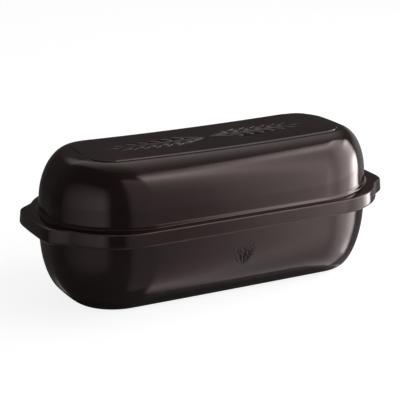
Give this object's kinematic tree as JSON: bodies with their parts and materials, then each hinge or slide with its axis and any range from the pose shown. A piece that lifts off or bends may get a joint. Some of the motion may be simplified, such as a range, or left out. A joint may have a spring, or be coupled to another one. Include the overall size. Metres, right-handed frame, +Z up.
{
  "type": "covered loaf baker",
  "caption": "Long ceramic bread baker in a dark glaze: a deep dish with a broad rim and end grips, under a domed lift-off lid with a raised top panel.",
  "frame": {"origin": "on the table, under the middle of the dish", "axes": "+X along the loaf from one grip to the other, +Y across it, +Z up; the long side in the picture faces -Y"},
  "size_m": [0.28, 0.1324, 0.1086],
  "materials": {
    "dish_glaze": "satin-gloss brown-black glaze, bare clay on the foot ring",
    "lid_glaze": "satin-gloss brown-black glaze, bare clay on the seat"
  },
  "bodies": {
    "dish": {"base_dish": "dish_glaze"},
    "cover": {"lid": "lid_glaze"}
  },
  "joints": [
    {"name": "lid_lift", "type": "slide", "parent": "dish", "child": "cover", "axis": [0, 0, 1], "range_m": [0, 0.09]}
  ]
}
